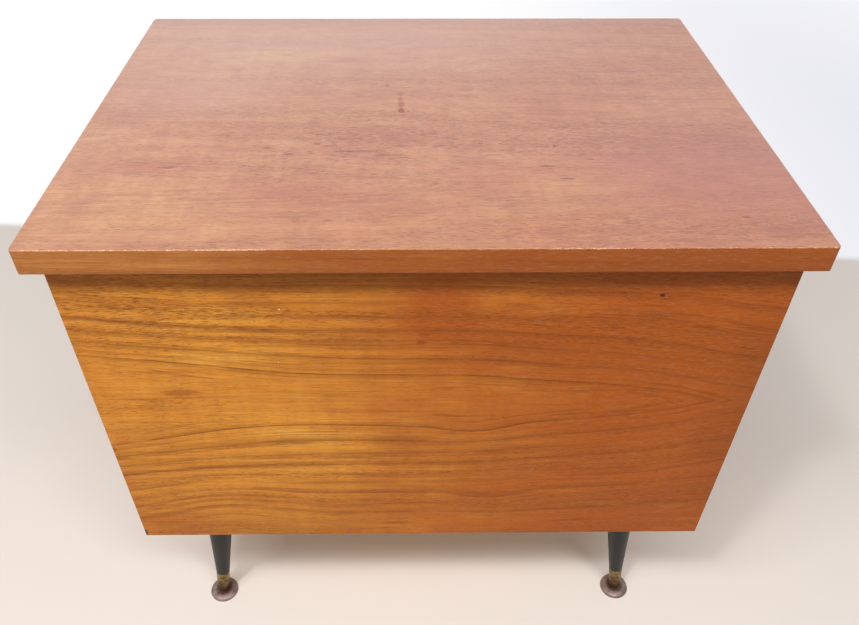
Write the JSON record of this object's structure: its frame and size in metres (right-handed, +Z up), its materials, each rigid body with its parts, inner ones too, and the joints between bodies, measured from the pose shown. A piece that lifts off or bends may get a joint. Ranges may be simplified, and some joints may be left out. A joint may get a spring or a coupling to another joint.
{
  "type": "storage box on legs",
  "caption": "Straight-sided teak storage box with an overhanging lift-up lid on a continuous hinge, a slotted lid stay, and splayed black legs with self-levelling glides.",
  "frame": {"origin": "on the floor, at the middle of the box's width and of its depth, hinge barrel included", "axes": "+X to the right across the front, -Y towards the front, +Z up"},
  "size_m": [0.61, 0.4558, 0.5788],
  "materials": {
    "teak_veneer": "satin oiled teak veneer",
    "teak_lid": "satin teak veneer, faded on top",
    "plywood": "unfinished birch plywood",
    "softwood": "sawn pine",
    "hinge_brass": "satin brass",
    "aged_brass": "tarnished brass",
    "bronzed_steel": "worn bronzed steel",
    "zinc_steel": "zinc plated",
    "ebonised_beech": "satin black lacquer"
  },
  "bodies": {
    "carcase": {"front_panel": "teak_veneer", "back_panel": "teak_veneer", "left_panel": "teak_veneer", "right_panel": "teak_veneer", "base_board": "plywood", "front_left_corner_block": "softwood", "front_right_corner_block": "softwood", "back_right_corner_block": "softwood", "back_left_corner_block": "softwood", "hinge_leaf_carcase": "hinge_brass", "stay_stud": "hinge_brass", "stay_stud_plate": "hinge_brass", "front_left_ferrule": "aged_brass", "front_right_ferrule": "aged_brass", "back_right_ferrule": "aged_brass", "back_left_ferrule": "aged_brass", "hinge_pin": "zinc_steel", "front_left_glide_shank": "zinc_steel", "front_left_hanger_bolt": "zinc_steel", "front_left_leg_plate": "zinc_steel", "front_right_glide_shank": "zinc_steel", "front_right_hanger_bolt": "zinc_steel", "front_right_leg_plate": "zinc_steel", "back_right_glide_shank": "zinc_steel", "back_right_hanger_bolt": "zinc_steel", "back_right_leg_plate": "zinc_steel", "back_left_glide_shank": "zinc_steel", "back_left_hanger_bolt": "zinc_steel", "back_left_leg_plate": "zinc_steel", "front_left_leg": "ebonised_beech", "front_right_leg": "ebonised_beech", "back_right_leg": "ebonised_beech", "back_left_leg": "ebonised_beech"},
    "lid": {"lid_board": "teak_lid", "lid_front_lipping": "teak_lid", "lid_back_lipping": "teak_lid", "lid_left_lipping": "teak_lid", "lid_right_lipping": "teak_lid", "hinge_leaf_lid": "hinge_brass", "stay_lid_bracket": "hinge_brass", "stay_pivot_rivet": "hinge_brass"},
    "stay_arm": {"stay_arm": "hinge_brass"},
    "front_left_glide": {"front_left_glide_pad": "bronzed_steel"},
    "front_right_glide": {"front_right_glide_pad": "bronzed_steel"},
    "back_right_glide": {"back_right_glide_pad": "bronzed_steel"},
    "back_left_glide": {"back_left_glide_pad": "bronzed_steel"}
  },
  "joints": [
    {"name": "lid_hinge", "type": "hinge", "parent": "carcase", "child": "lid", "pos_m": [0, 0.2254, 0.55615], "axis": [-1, 0, 0], "range_deg": [0, 100]},
    {"name": "stay_arm_pivot", "type": "hinge", "parent": "lid", "child": "stay_arm", "pos_m": [0.2715, 0.10622, 0.54215], "axis": [-1, 0, 0], "range_deg": [-50, 0]},
    {"name": "front_left_glide_tilt", "type": "hinge", "parent": "carcase", "child": "front_left_glide", "pos_m": [-0.2475, -0.1674, 0.0065], "axis": [0.7071, -0.7071, 0], "range_deg": [-24, 8]},
    {"name": "front_right_glide_tilt", "type": "hinge", "parent": "carcase", "child": "front_right_glide", "pos_m": [0.2475, -0.1674, 0.0065], "axis": [0.7071, 0.7071, 0], "range_deg": [-24, 8]},
    {"name": "back_right_glide_tilt", "type": "hinge", "parent": "carcase", "child": "back_right_glide", "pos_m": [0.2475, 0.1766, 0.0065], "axis": [-0.7071, 0.7071, 0], "range_deg": [-24, 8]},
    {"name": "back_left_glide_tilt", "type": "hinge", "parent": "carcase", "child": "back_left_glide", "pos_m": [-0.2475, 0.1766, 0.0065], "axis": [-0.7071, -0.7071, 0], "range_deg": [-24, 8]}
  ],
  "couplings": [
    {"joint": "stay_arm_pivot", "follows": "lid_hinge", "ratio": -0.5}
  ]
}
